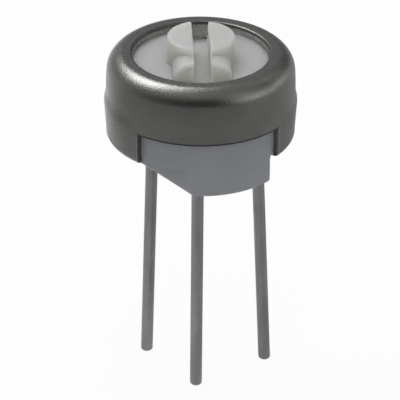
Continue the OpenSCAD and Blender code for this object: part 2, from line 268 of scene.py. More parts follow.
def unite(name: str, shells: Sequence[Shell], sharp_degrees: float) -> bpy.types.Object:
    """Unite closed shells into one skin, so that light scatters through them as one piece.

    Args:
        name: the piece's name.
        shells: closed surfaces that overlap.
        sharp_degrees: edges that bend more than this stay sharp.

    Returns:
        The linked object, at the origin, with its place in its mesh.
    """
    solids = [shell.piece("solid_%d" % number) for number, shell in enumerate(shells)]
    group = bpy.data.collections.new("solids")
    bpy.context.scene.collection.children.link(group)
    for solid in solids[1:]:
        group.objects.link(solid)
    union = solids[0].modifiers.new("union", "BOOLEAN")
    union.operation = "UNION"
    union.operand_type = "COLLECTION"
    union.collection = group
    union.solver = "EXACT"
    bpy.context.view_layer.update()
    done = solids[0].evaluated_get(bpy.context.evaluated_depsgraph_get())
    mesh = bpy.data.meshes.new_from_object(done)
    for solid in solids:
        bpy.data.objects.remove(solid)
    bpy.data.collections.remove(group)
    mesh.name = name
    return show(name, mesh, sharp_degrees)


Value = Union["Socket", float]


class Socket:
    """A shader output that takes part in Python sums: each operator adds a Math node."""

    def __init__(self, graph: "Graph", socket: Optional[bpy.types.NodeSocket]) -> None:
        """Keep the graph and the output that this stands for."""
        self.graph = graph
        self.socket = socket

    def __add__(self, other: Value) -> "Socket":
        """Sum."""
        return self.graph.math("ADD", self, other)

    __radd__ = __add__

    def __mul__(self, other: Value) -> "Socket":
        """Product."""
        return self.graph.math("MULTIPLY", self, other)

    __rmul__ = __mul__

    def __sub__(self, other: Value) -> "Socket":
        """Difference."""
        return self.graph.math("SUBTRACT", self, other)

    def __rsub__(self, other: Value) -> "Socket":
        """Difference from a number."""
        return self.graph.math("SUBTRACT", other, self)


class Graph:
    """The node tree of one material or of the world."""

    def __init__(self, tree: bpy.types.NodeTree) -> None:
        """Empty the tree and keep it."""
        self.tree = tree
        tree.nodes.clear()

    def node(self, kind: str, settings: Optional[Dict[str, object]] = None,
             inputs: Optional[Dict[object, object]] = None, output: Union[int, str] = 0) -> Socket:
        """Add any node.

        Args:
            kind: the node's type without its ShaderNode prefix.
            settings: attributes, which are set first.
            inputs: values or Socket links by input name or number.
            output: the output to hand back.

        Returns:
            The chosen output, which is empty for a node without outputs.
        """
        made = self.tree.nodes.new("ShaderNode" + kind)
        for key, value in (settings or {}).items():
            setattr(made, key, value)
        for key, value in (inputs or {}).items():
            if isinstance(value, Socket):
                self.tree.links.new(value.socket, made.inputs[key])
            elif isinstance(value, tuple) and made.inputs[key].type == "RGBA":
                made.inputs[key].default_value = (*value, 1.0)
            else:
                made.inputs[key].default_value = value
        return Socket(self, made.outputs[output] if len(made.outputs) else None)

    def math(self, operation: str, a: Value, b: Value = 0.0) -> Socket:
        """Add a Math node for one operation on one or two values."""
        return self.node("Math", {"operation": operation}, {0: a, 1: b})

    def mix(self, share: Value, a: object, b: object) -> Socket:
        """Blend two colours by a share."""
        return self.node("Mix", {"data_type": "RGBA"}, {0: share, 6: a, 7: b}, 2)

    def along(self, vector: Socket, way: Triple) -> Socket:
        """How far a vector reaches along a direction."""
        return self.node("VectorMath", {"operation": "DOT_PRODUCT"}, {0: vector, 1: way}, 1)

    def ray(self, kind: str) -> Socket:
        """1 for rays of a kind, such as Camera or Glossy, and 0 for others."""
        return self.node("LightPath", output="Is %s Ray" % kind)

    def place(self, stretch: Triple = (1.0, 1.0, 1.0)) -> Socket:
        """Object coordinates, stretched along each axis."""
        where = self.node("TexCoord", output="Object")
        return self.node("Mapping", {}, {"Vector": where, "Scale": stretch})

    def noise(self, size_mm: float, detail: float, rough: float, stretch: Triple) -> Socket:
        """Noise between 0 and 1 whose blotches are about size_mm across."""
        return self.node("TexNoise", {}, {"Vector": self.place(stretch), "Scale": 1.0 / (size_mm * MM),
                                          "Detail": detail, "Roughness": rough}, 0)

    def ramp(self, value: Socket, low: float, high: float) -> Socket:
        """Stretch a value so that low becomes 0 and high becomes 1."""
        return self.node("MapRange", {"clamp": True}, {0: value, 1: low, 2: high, 3: 0.0, 4: 1.0})

    def bump(self, height: Socket, depth_mm: float) -> Socket:
        """Normal of a height between 0 and 1 that stands for depth_mm."""
        return self.node("Bump", {}, {"Height": height, "Distance": depth_mm * MM, "Strength": 1.0})


@dataclass
class Layout:
    """Sizes that several pieces share, in millimetres and degrees."""

    cap_r: float = 3.935
    sheet: float = 0.25
    shoulder_r: float = 0.72
    top_z: float = 4.88
    hole_r: float = 2.84
    lip_r: float = 0.1
    collar_low_z: float = 4.1
    plate_z: float = 1.2
    plate_top_z: float = 2.2
    cup_top_z: float = 2.95
    stop_top_z: float = 3.29
    window_top_z: float = 2.5
    window_start: float = -124.0
    window_angle: float = 97.0
    bend_r: float = 0.252
    leg_z: float = 1.12
    crimp_r: float = 3.28
    base_r: float = 3.66
    cup_in_r: float = 3.3
    rotor_turn: float = 9.7
    slot_half: float = 0.35
    lead_places: Tuple[Pair, ...] = ((-2.047, 0.0), (0.187, -2.2), (2.421, 0.0))
    lead_leans: Tuple[Pair, ...] = ((0.0, 1.4), (-2.02, -0.1), (0.0, -2.5))

    @property
    def tab_angle(self) -> float:
        """Angle that one tab spans."""
        return 180.0 - self.window_angle

    def in_tab(self, degrees: np.ndarray, margin: float, soft: float) -> np.ndarray:
        """Share from 0 to 1 of being inside a tab's sector.

        Args:
            degrees: directions.
            margin: widening of the sector on each side, degrees.
            soft: width of the smooth change at its ends, degrees.

        Returns:
            1 inside a tab, 0 in a window, with a smooth change between.
        """
        middle = self.window_start + self.window_angle + self.tab_angle / 2.0
        off = np.abs((degrees - middle + 90.0) % 180.0 - 90.0)
        edge = self.tab_angle / 2.0 + margin
        return 1.0 - smooth_step(off, edge - soft / 2.0, edge + soft / 2.0)


@dataclass(frozen=True)
class Finish:
    """A finish: its colours, its gloss and the size of its grain.

    Where a piece's mark attribute rises to 1 the colour turns to pale, which is painted light, and where it
    falls to -1, to shade, which is painted shade. The strip's colour is painted light as well: it runs
    straight through the z axis, its half width in millimetres to each side, along y turned by its turn in
    degrees.
    """

    name: str
    light: Colour
    dark: Colour
    roughness: float
    metallic: float = 0.0
    grain_mm: float = 0.1
    grain_depth_mm: float = 0.004
    blotch_mm: float = 0.5
    roughness_swing: float = 0.08
    subsurface: float = 0.0
    subsurface_mm: float = 0.3
    subsurface_shares: Triple = (1.0, 0.98, 0.8)
    specular: float = 0.5
    stretch: Triple = (1.0, 1.0, 1.0)
    blotch_detail: float = 4.0
    blotch_rough: float = 0.55
    blotch_range: Pair = (0.3, 0.7)
    grain_detail: float = 3.0
    grain_rough: float = 0.6
    grain_range: Pair = (0.35, 0.65)
    grain_share: float = 0.3
    # Painted light where the mark rises to 1, and painted shade where it falls to -1
    pale: Optional[Colour] = None
    shade: Colour = (0.0, 0.0, 0.0)
    # Painted light: a paler colour along a straight band through the z axis, with its half width, turn and
    # fade
    strip: Optional[Colour] = None
    painted_slot_half_mm: float = 0.0
    painted_slot_turn: float = 0.0
    painted_slot_fade_mm: Pair = (0.05, 0.015)

    @lru_cache(maxsize=None)
    def material(self) -> bpy.types.Material:
        """Build the node material: blotches and grain change the colour, grain changes gloss and the normal.

        Returns:
            The material, made at the first call and shared after that.
        """
        made = bpy.data.materials.new(self.name)
        made.use_nodes = True
        made.diffuse_color = (*self.light, 1.0)
        graph = Graph(made.node_tree)
        blotch = graph.noise(self.blotch_mm, self.blotch_detail, self.blotch_rough, self.stretch)
        grain = graph.noise(self.grain_mm, self.grain_detail, self.grain_rough, self.stretch)
        fleck = graph.ramp(grain, *self.grain_range)
        share = graph.ramp(blotch, *self.blotch_range) * (1.0 - self.grain_share) + fleck * self.grain_share
        colour = graph.mix(share, self.dark, self.light)
        # Painted light and painted shade from the mark
        if self.pale is not None:
            mark = graph.node("Attribute", {"attribute_name": "mark"}, {}, "Fac")
            colour = graph.mix(graph.math("MAXIMUM", mark, 0.0), colour, self.pale)
            colour = graph.mix(graph.math("MAXIMUM", mark * -1.0, 0.0), colour, self.shade)
        # Painted light along the band, for the slot
        if self.strip is not None:
            turn = math.radians(self.painted_slot_turn)
            across = graph.along(graph.place(), (math.cos(turn), math.sin(turn), 0.0))
            outside, inside = [(self.painted_slot_half_mm + fade) * MM for fade in self.painted_slot_fade_mm]
            painted_slot_share = graph.ramp(graph.math("ABSOLUTE", across), outside, inside)
            colour = graph.mix(painted_slot_share, colour, self.strip)
        shader = graph.node("BsdfPrincipled", {}, {
            "Base Color": colour,
            "Roughness": (fleck - 0.5) * self.roughness_swing + self.roughness,
            "Metallic": self.metallic,
            "Specular IOR Level": self.specular,
            "Subsurface Weight": self.subsurface,
            "Subsurface Scale": self.subsurface_mm * MM,
            "Subsurface Radius": self.subsurface_shares,
            "Normal": graph.bump(grain, self.grain_depth_mm),
        })
        graph.node("OutputMaterial", {}, {"Surface": shader})
        return made

    def put_on(self, obj: bpy.types.Object) -> None:
        """Give an object this finish alone."""
        obj.data.materials.clear()
        obj.data.materials.append(self.material())


# Its pale colour is painted light on the collar and the tabs' edges, its shade colour painted shade on the
# lip and over the windows
CAP_METAL = Finish(
    "satin_plate", light=(0.15, 0.149, 0.143), dark=(0.125, 0.125, 0.12), roughness=0.27, metallic=1.0,
    grain_mm=0.055, grain_depth_mm=0.011, blotch_mm=0.9, roughness_swing=0.14,
    pale=(0.42, 0.412, 0.385), shade=(0.018, 0.018, 0.018))
BASE_PLASTIC = Finish(
    "base_moulding", light=(0.25, 0.259, 0.28), dark=(0.212, 0.224, 0.238), roughness=0.42, grain_mm=0.09,
    grain_depth_mm=0.003, blotch_mm=1.2, subsurface=0.15, subsurface_mm=0.25, specular=0.4)
# Its strip colour is painted light: the slot's floor and walls are painted paler, for the light that the
# milky hub lets through
ROTOR_PLASTIC = Finish(
    "rotor_moulding", light=(0.462, 0.465, 0.456), dark=(0.443, 0.448, 0.441), roughness=0.48,
    grain_depth_mm=0.002, blotch_mm=0.9, subsurface=1.0, subsurface_mm=2.6, specular=0.25,
    strip=(0.592, 0.589, 0.558), painted_slot_half_mm=Layout.slot_half, painted_slot_turn=Layout.rotor_turn)
TINNED_WIRE = Finish(
    "tinned_wire", light=(0.265, 0.265, 0.27), dark=(0.175, 0.176, 0.176), roughness=0.36, metallic=1.0,
    grain_mm=0.08, grain_depth_mm=0.009, roughness_swing=0.14, stretch=(1.0, 1.0, 0.25))
SEAL_RUBBER = Finish("seal_rubber", light=(0.03, 0.03, 0.032), dark=(0.02, 0.02, 0.022), roughness=0.6)
SPRING_METAL = Finish(
    "spring_strip", light=(0.72, 0.56, 0.3), dark=(0.6, 0.46, 0.24), roughness=0.28, metallic=1.0,
    grain_depth_mm=0.002)
ALUMINA = Finish(
    "fired_alumina", light=(0.8, 0.79, 0.75), dark=(0.74, 0.73, 0.69), roughness=0.55,
    grain_mm=0.06, blotch_mm=0.8)
CERMET = Finish(
    "fired_track", light=(0.06, 0.06, 0.066), dark=(0.04, 0.04, 0.045), roughness=0.5,
    grain_mm=0.05, blotch_mm=0.4)
SILVER_PRINT = Finish(
    "silver_print", light=(0.66, 0.65, 0.62), dark=(0.55, 0.54, 0.51), roughness=0.42, metallic=1.0,
    grain_mm=0.05, blotch_mm=0.4)
SOLDER = Finish(
    "solder_fillet", light=(0.6, 0.6, 0.6), dark=(0.5, 0.5, 0.5), roughness=0.25, metallic=1.0,
    grain_depth_mm=0.002, blotch_mm=0.4)


class Piece:
    """A visible sub-assembly: one mesh that stands for one CAD node."""

    node: str
    slot: str
    finish: Finish
    body: Body = Body.HOUSING

    def build(self) -> bpy.types.Object:
        """Make the mesh object."""
        raise NotImplementedError

    def dress(self) -> None:
        """Build the piece, give it its finish, ride it on its body and let it stand for its CAD node."""
        obj = self.build()
        self.finish.put_on(obj)
        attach(obj, self.body.value)
        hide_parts(self.node)
        LOG.info("%s rides on %s for %s", obj.name, self.body.value, self.node)


@dataclass
class Cap(Piece):
    """Drawn metal cap with its access hole, windows and crimped tabs."""

    node = "metal_cap"
    slot = "cap_metal"
    finish = CAP_METAL

    layout: Layout
    window_cols: int = 96
    tab_cols: int = 84
    collar_rows: int = 10
    lip_rows: int = 12
    top_rows: int = 8
    shoulder_rows: int = 25
    wall_rows: int = 14
    tab_rows: int = 12
    bend_rows: int = 10
    leg_rows: int = 4
    # Painted shade over the windows: the band's height over their upper edge, and the share of it that is
    # fully dark
    shade_band: float = 0.09
    shade_band_share: float = 1.0 / 3.0
    edge_round: float = 0.055
    edge_segments: int = 3
    edge_angle: float = 50.0
    sharp_angle: float = 60.0
    fold_z: float = 2.72
    fold_soft: float = 0.5
    fold_low_z: float = 1.5
    fold_proud: float = 0.08
    fold_fade: float = 24.0
    draw_in: float = 0.12
    draw_low_z: float = 3.3
    # Painted light on the collar and the tabs' side edges, painted shade on the lip and the windows' upper
    # edges
    collar_painted_light: float = 1.0
    lip_painted_shade: float = -0.5
    window_painted_shade: float = -1.0
    tab_painted_light: float = 0.3

    def profile(self) -> Tuple[np.ndarray, int]:
        """Outside of the cap as (radius, height) from the collar's end to the crimped leg's end.

        Near the shoulder the wall is drawn in by the square of its rise.

        Returns:
            The points, and the number of the row at the windows' upper edge.
        """
        q = self.layout
        lip = (q.hole_r + q.lip_r, q.top_z - q.lip_r)
        shoulder = (q.cap_r - q.shoulder_r, q.top_z - q.shoulder_r)
        bend = (q.cap_r - q.bend_r, q.leg_z + q.bend_r)
        # The band over the windows' upper edge holds the painted shade
        shade_band_z = q.window_top_z + self.shade_band
        parts = [
            line((q.hole_r, q.collar_low_z), (q.hole_r, lip[1]), self.collar_rows),
            arc(lip, q.lip_r, 180.0, 90.0, self.lip_rows),
            line((lip[0], q.top_z), (shoulder[0], q.top_z), self.top_rows)[1:],
            arc(shoulder, q.shoulder_r, 90.0, 0.0, self.shoulder_rows),
            line((q.cap_r, shoulder[1]), (q.cap_r, shade_band_z), self.wall_rows)[1:],
            np.array([[q.cap_r, shade_band_z], [q.cap_r, q.window_top_z + self.shade_band * self.shade_band_share]]),
        ]
        edge_row = sum(len(part) for part in parts)
        parts += [
            line((q.cap_r, q.window_top_z), (q.cap_r, bend[1]), self.tab_rows),
            arc(bend, q.bend_r, 0.0, -90.0, self.bend_rows),
            line((bend[0], q.leg_z), (q.crimp_r, q.leg_z), self.leg_rows)[1:],
            np.array([[q.crimp_r, q.leg_z]]),
        ]
        points = np.concatenate(parts)
        rise = np.clip((points[:, 1] - self.draw_low_z) / (q.top_z - self.draw_low_z), 0.0, 1.0)
        outer = np.clip((points[:, 0] - q.cap_r) / q.shoulder_r + 1.0, 0.0, 1.0)
        points[:, 0] -= self.draw_in * rise ** 2 * outer
        return points, edge_row

    def build(self) -> bpy.types.Object:
        """Carry the profile round the axis, and leave the windows' quads out.

        x = r cos a and y = r sin a. Each tab stands a little proud where it folds in. The sheet's thickness
        is set inwards, and its cut edges are rounded. The marks paint light and shade into the colour: the
        collar and the tabs' side edges are painted paler, which is painted light, and the lip and the
        windows' upper edges darker, which is painted shade.

        Returns:
            The cap's object.
        """
        q = self.layout
        profile, edge_row = self.profile()
        rows = len(profile)
        sectors = [(q.window_start, q.window_angle, self.window_cols),
                   (q.window_start + q.window_angle, q.tab_angle, self.tab_cols)]
        angles = np.concatenate([
            np.linspace(start + turn, start + turn + span, count, endpoint=False)
            for turn in (0.0, 180.0) for start, span, count in sectors])
        tab = np.tile(np.repeat([False, True], [self.window_cols, self.tab_cols]), 2)
        a = np.radians(angles)
        r, z = profile[:, 0:1], profile[:, 1:2]
        fold = smooth_step(z, self.fold_z + self.fold_soft, self.fold_z)
        fold = fold * np.clip((z - self.fold_low_z) / (self.fold_z - self.fold_low_z), 0.0, 1.0)
        r = r + self.fold_proud * fold * q.in_tab(angles, -self.fold_fade / 2.0, self.fold_fade)[None]
        points = np.stack([r * np.cos(a), r * np.sin(a), z + 0.0 * a], -1)
        quads = grid_quads(rows, len(angles), True)[:, ::-1]
        keep = (np.arange(rows - 1)[:, None] < edge_row) | tab[None, :]
        # Marks for painted light on the collar and tab edges, and painted shade on the lip and over the
        # windows
        mark = np.zeros((rows, len(angles)))
        mark[:self.collar_rows] = self.collar_painted_light
        lip = np.sin(np.linspace(0.0, np.pi, self.lip_rows))
        mark[self.collar_rows:self.collar_rows + self.lip_rows] = self.lip_painted_shade * lip[:, None]
        mark[edge_row - 1:edge_row + 1, ~tab] = self.window_painted_shade
        mark[edge_row:, np.roll(tab, 1) != tab] = self.tab_painted_light
        shell = Shell()
        shell.add(points, quads[keep.reshape(-1)], mark=mark)
        obj = shell.piece("cap_shell", self.sharp_angle)
        wall = obj.modifiers.new("sheet", "SOLIDIFY")
        wall.thickness = q.sheet * MM
        wall.offset = -1.0
        wall.use_even_offset = True
        edges = obj.modifiers.new("edges", "BEVEL")
        edges.width = self.edge_round * MM
        edges.segments = self.edge_segments
        edges.limit_method = "ANGLE"
        edges.angle_limit = math.radians(self.edge_angle)
        return obj


@dataclass
class Base(Piece):
    """Moulded base: foot with a well at each lead, plate, cup wall and stop."""

    node = "base"
    slot = "base_plastic"
    finish = BASE_PLASTIC

    layout: Layout
    foot_half_w: float = 2.44
    foot_angle: float = 45.0
    foot_corner: float = 0.03
    foot_least_cosine: float = 0.2
    foot_trim_r: float = 2.95
    foot_trim_angle: float = 3.0
    foot_trim_soft: float = 1.2
    foot_edge_r: float = 0.14
    foot_rows: int = 5
    fillet_r: float = 0.08
    plate_edge_r: float = 0.02
    seat_gap: float = 0.025
    seat_soft: float = 0.8
    stop_angle: float = -90.0
    stop_half_angle: float = 32.5
    stop_soft: float = 0.8
    well_r: float = 0.42
    well_depth: float = 0.4
    well_cols: int = 64
    bend_rows: int = 7
    wall_rows: int = 8
    floor_shares: Triple = (0.6, 0.25, 0.0)
    cols: int = 720
    sharp_angle: float = 40.0

    def foot_radius(self, degrees: np.ndarray) -> np.ndarray:
        """Radius of the foot's outline: the least of the plate's edge, the flat sides and the cut under tabs.

        Args:
            degrees: directions.

        Returns:
            Radius in each direction, with softened corners.
        """
        q = self.layout
        cosine = np.abs(np.cos(np.radians(degrees - self.foot_angle)))
        flat = self.foot_half_w / np.maximum(cosine, self.foot_least_cosine)
        least = -self.foot_corner * np.logaddexp(-flat / self.foot_corner, -q.base_r / self.foot_corner)
        cut = q.in_tab(degrees, self.foot_trim_angle, self.foot_trim_soft)
        return least * (1.0 - cut) + np.minimum(least, self.foot_trim_r) * cut

    def build(self) -> bpy.types.Object:
        """Carry a profile round the axis whose radius and height follow the direction.

        Rows run from the foot's underside over its rounded edge, up its side, out under the plate, up the
        plate's wall, over the cup and stop, and in to the middle of the cup's floor.

        Returns:
            The base's object.
        """
        q = self.layout
        edge, fillet = self.foot_edge_r, self.fillet_r
        deg = np.linspace(-180.0, 180.0, self.cols, endpoint=False)
        one = np.ones_like(deg)
        bend = np.radians(np.linspace(0.0, 90.0, self.bend_rows)[1:])
        foot = self.foot_radius(deg)
        rows: List[Tuple[np.ndarray, np.ndarray]] = [(foot - edge, 0.0 * one)]
        rows += [(foot - edge + edge * math.sin(t), one * (edge - edge * math.cos(t))) for t in bend]
        low = q.plate_z - fillet
        rows += [(foot, one * z) for z in np.linspace(edge, low, self.foot_rows)[1:]]
        room = np.minimum(q.base_r - foot, fillet)
        rows += [(foot + room * (1.0 - math.cos(t)), one * (low + fillet * math.sin(t))) for t in bend]
        under = foot + room
        ledge = np.maximum(under, q.crimp_r - self.seat_gap)
        seat_z = q.plate_z + (q.leg_z + q.sheet - q.plate_z) * q.in_tab(deg, 0.0, self.seat_soft)
        rows += [(ledge, one * q.plate_z), (ledge, seat_z)]
        p = self.plate_edge_r * np.clip((q.base_r - foot - fillet) / (2.0 * self.plate_edge_r), 0.0, 1.0)
        rows += [(np.maximum(under, q.base_r - p), seat_z)]
        rows += [(q.base_r - p + p * math.sin(t), seat_z + p - p * math.cos(t)) for t in bend]
        wall = np.linspace(0.0, 1.0, self.wall_rows)[1:]
        rows += [(one * q.base_r, seat_z + p + (q.cup_top_z - seat_z - p) * share) for share in wall]
        off = np.abs((deg - self.stop_angle + 180.0) % 360.0 - 180.0)
        ends = (self.stop_half_angle - self.stop_soft / 2.0, self.stop_half_angle + self.stop_soft / 2.0)
        rise = q.cup_top_z + (q.stop_top_z - q.cup_top_z) * (1.0 - smooth_step(off, *ends))
        rows += [(one * q.base_r, rise), (one * q.cup_in_r, rise), (one * q.cup_in_r, one * q.plate_top_z)]
        rows += [(one * q.cup_in_r * share, one * q.plate_top_z) for share in self.floor_shares]
        r = np.array([row[0] for row in rows])
        z = np.array([row[1] for row in rows])
        a = np.radians(deg)
        points = np.stack([r * np.cos(a), r * np.sin(a), z], -1)
        shell = Shell()
        shell.add(points, grid_quads(len(rows), self.cols, True))
        self.underside(shell, points[0, :, :2])
        return shell.piece("base_moulding", self.sharp_angle)

    def underside(self, shell: Shell, edge: np.ndarray) -> None:
        """Fill the foot's flat underside between its edge and the wells, and sink a round well at each lead.

        The flat is cut into triangles between the loops. A well is a profile of wall and floor carried round
        the lead: x = lead x + r cos a, y = lead y + r sin a.

        Args:
            shell: the surfaces gathered so far.
            edge: plan points of the foot's edge, anticlockwise.
        """
        leads = np.array(self.layout.lead_places)
        a = np.linspace(0.0, 2.0 * np.pi, self.well_cols, endpoint=False)
        round_plan = np.stack([np.cos(a), np.sin(a)], -1)
        loops = [edge] + [lead + self.well_r * round_plan for lead in leads]
        edges: List[List[int]] = []
        first = 0
        for loop in loops:
            here = np.arange(len(loop))
            edges += np.stack([here + first, (here + 1) % len(loop) + first], -1).tolist()
            first += len(loop)
        plan = [Vector(point) for point in np.concatenate(loops).tolist()]
        found = delaunay_2d_cdt(plan, edges, [], 1, FLAT_MERGE_MM)
        flat = np.array([point[:] for point in found[0]])
        corners = np.array(found[2])
        away = np.linalg.norm(flat[corners].mean(1)[:, None] - leads[None], axis=2).min(1)
        shell.add(np.column_stack([flat, np.zeros(len(flat))]), corners[away > self.well_r][:, ::-1])
        size = np.array([self.well_r, self.well_r, 0.0])[:, None, None]
        height = np.array([0.0, self.well_depth, self.well_depth])[:, None, None]
        for lead in leads:
            ring = lead + size * round_plan[None]
            rows = np.concatenate([ring, np.broadcast_to(height, ring.shape[:2] + (1,))], -1)
            shell.add(rows, grid_quads(len(rows), self.well_cols, True)[:, ::-1])


@dataclass
class Rotor(Piece):
    """Moulded rotor: body with seal groove and flange, slotted disc, hub and cheeks, stop lug and stakes.

    Its shells sink into each other, and a small seam keeps their walls out of one plane. The slot runs
    along y until the whole is turned.
    """

    node = "rotor"
    slot = "rotor_plastic"
    finish = ROTOR_PLASTIC
    body = Body.ROTOR

    layout: Layout
    low_z: float = 3.34
    rim_top_z: float = 3.47
    groove_top_z: float = 4.01
    flange_top_z: float = 4.07
    slot_floor_z: float = 4.12
    channel_z: float = 4.28
    disc_top_z: float = 4.55
    hub_top_z: float = 5.63
    cheek_top_z: float = 5.23
    lug_low_z: float = 3.0
    rim_r: float = 3.635
    groove_r: float = 3.145
    flange_r: float = 3.405
    disc_r: float = 2.81
    hub_r: float = 1.4
    channel_half: float = 1.22
    cheek_half_w: float = 1.23
    cheek_reach: float = 1.95
    cheek_start: float = 0.8
    cheek_round_w: float = 0.74
    cheek_round_h: float = 0.73
    cheek_fall: float = 0.12
    cheek_edge_r: float = 0.15
    hub_edge_r: float = 0.1
    disc_edge_r: float = 0.06
    edge_strip: float = 1.3
    lug_angle: float = 90.0
    lug_half_angle: float = 12.0
    stake_x: float = 0.77
    stake_y: float = -1.0
    stake_r: float = 0.23
    stake_h: float = 0.14
    seam: float = 0.004
    sunk: float = 0.04
    ring_cols: int = 180
    wall_cols: int = 60
    arc_cols: int = 25
    stake_cols: int = 32
    bend_rows: int = 9
    sharp_angle: float = 40.0

    def edge_steps(self, low: float, top: float, edge: float) -> List[Pair]:
        """Steps with a rounded upper edge: inset e(1 - cos t) at height e sin t, then a flat strip.

        Args:
            low: place of the lower end.
            top: place of the upper end.
            edge: radius e of the upper edge.

        Returns:
            Pairs of inset and place.
        """
        bend = np.radians(np.linspace(0.0, 90.0, self.bend_rows))
        rise = [(edge * (1.0 - math.cos(t)), top - edge + edge * math.sin(t)) for t in bend]
        return [(0.0, low)] + rise + [(edge * self.edge_strip, top)]

    def half(self, radius: float, side: float, steps: Sequence[Pair], sign: float) -> Shell:
        """Make one half of a disc beside the slot.

        From a point inside the half, each direction reaches the nearer of the slot's wall and the circle. An
        inset moves the wall out by that much and makes the circle smaller by that much.

        Args:
            radius: radius of the disc.
            side: distance of the slot's wall from the axis.
            steps: pairs of inset and height.
            sign: 1 for the half on the +x side, -1 for the other.

        Returns:
            The closed half.
        """
        heart = (side + radius) / 2.0
        corner = math.atan2(math.sqrt(radius ** 2 - side ** 2), side - heart)
        a = np.concatenate([np.linspace(-corner, corner, self.ring_cols, endpoint=False),
                            np.linspace(corner, 2.0 * np.pi - corner, self.wall_cols, endpoint=False)])
        c, s = np.cos(a), np.sin(a)
        inset = np.array([step[0] for step in steps])[:, None]
        ring = -heart * c + np.sqrt((radius - inset) ** 2 - (heart * s) ** 2)
        wall = np.where(c < -LEAST_COSINE, (side + inset - heart) / np.minimum(c, -LEAST_COSINE), np.inf)
        reach = np.minimum(ring, wall)
        shell = Shell()
        outlines = np.stack([sign * (heart + reach * c), sign * reach * s], -1)
        shell.stack(outlines, [step[1] for step in steps])
        return shell

    def cheek(self, sign: float, front: float) -> Shell:
        """Make one cheek: a section with a quarter oval for its upper corner, carried out from the hub.

        Its heights are then stretched, most at the hub and not at all at the end, so that the top falls
        outwards.

        Args:
            sign: 1 for the +x side of the slot, -1 for the other.
            front: 1 for the end towards -y, -1 for the other.

        Returns:
            The closed cheek.
        """
        inner, low = self.layout.slot_half + self.seam, self.channel_z - self.sunk
        outer, top = self.cheek_half_w, self.cheek_top_z
        size = np.array([self.cheek_round_w, self.cheek_round_h])
        bend = np.array([outer, top]) - size + arc((0.0, 0.0), 1.0, 0.0, 90.0, self.arc_cols) * size
        section = np.concatenate([[(inner, low), (outer, low)], bend, [(inner, top)]])
        if sign * front < 0.0:
            section = section[::-1] * np.array([-1.0, 1.0])
        shell = Shell()
        steps = self.edge_steps(self.cheek_start, self.cheek_reach, self.cheek_edge_r)
        shell.prism(section, steps, Axis.FRONT)
        x, y, z = shell.points[0].T
        lift = self.cheek_fall * (self.cheek_reach - np.abs(y)) * (z - low) / (top - low)
        shell.points[0] = np.stack([front * x, front * y, z + lift], -1)
        return shell

    def below(self) -> List[Shell]:
        """Make the lug that meets the stop, and the two stakes that hold the wiper.

        Returns:
            The three closed shells.
        """
        start, end = self.lug_angle - self.lug_half_angle, self.lug_angle + self.lug_half_angle
        outline = np.concatenate([arc((0.0, 0.0), self.rim_r - self.seam, start, end, self.arc_cols),
                                  arc((0.0, 0.0), self.layout.cup_in_r, end, start, self.arc_cols)])
        lug = Shell()
        lug.prism(outline, [(0.0, self.lug_low_z), (0.0, self.low_z + self.sunk)])
        shells = [lug]
        for x in (-self.stake_x, self.stake_x):
            outline = arc((x, self.stake_y), self.stake_r, 0.0, 360.0, self.stake_cols + 1)[:-1]
            stake = Shell()
            stake.prism(outline, [(0.0, self.low_z - self.stake_h), (0.0, self.low_z + self.sunk)])
            shells.append(stake)
        return shells

    def build(self) -> bpy.types.Object:
        """Put together the lathed body, the two halves of disc and hub, the cheeks, the lug and the stakes.

        Returns:
            The rotor's object, turned as the solids are.
        """
        slot_half = self.layout.slot_half
        core_r = self.disc_r - 2.0 * self.seam
        core = Shell()
        core.lathe(np.array([
            (0.0, self.slot_floor_z), (core_r, self.slot_floor_z),
            (core_r, self.flange_top_z), (self.flange_r, self.flange_top_z),
            (self.flange_r, self.groove_top_z), (self.groove_r, self.groove_top_z),
            (self.groove_r, self.rim_top_z), (self.rim_r, self.rim_top_z),
            (self.rim_r, self.low_z), (0.0, self.low_z),
        ]))
        floor = [(0.0, self.slot_floor_z - self.sunk), (0.0, self.channel_z)]
        disc = self.edge_steps(self.channel_z - self.sunk, self.disc_top_z, self.disc_edge_r)
        hub = self.edge_steps(self.channel_z - self.sunk, self.hub_top_z, self.hub_edge_r)
        shells = [core]
        for sign in (1.0, -1.0):
            shells += [
                self.half(self.disc_r - self.seam, slot_half, floor, sign),
                self.half(self.disc_r, self.channel_half, disc, sign),
                self.half(self.hub_r, slot_half + 2.0 * self.seam, hub, sign),
                self.cheek(sign, 1.0),
                self.cheek(sign, -1.0),
            ]
        shells += self.below()
        for shell in shells:
            shell.turned(self.layout.rotor_turn)
        return unite("rotor_moulding", shells, self.sharp_angle)


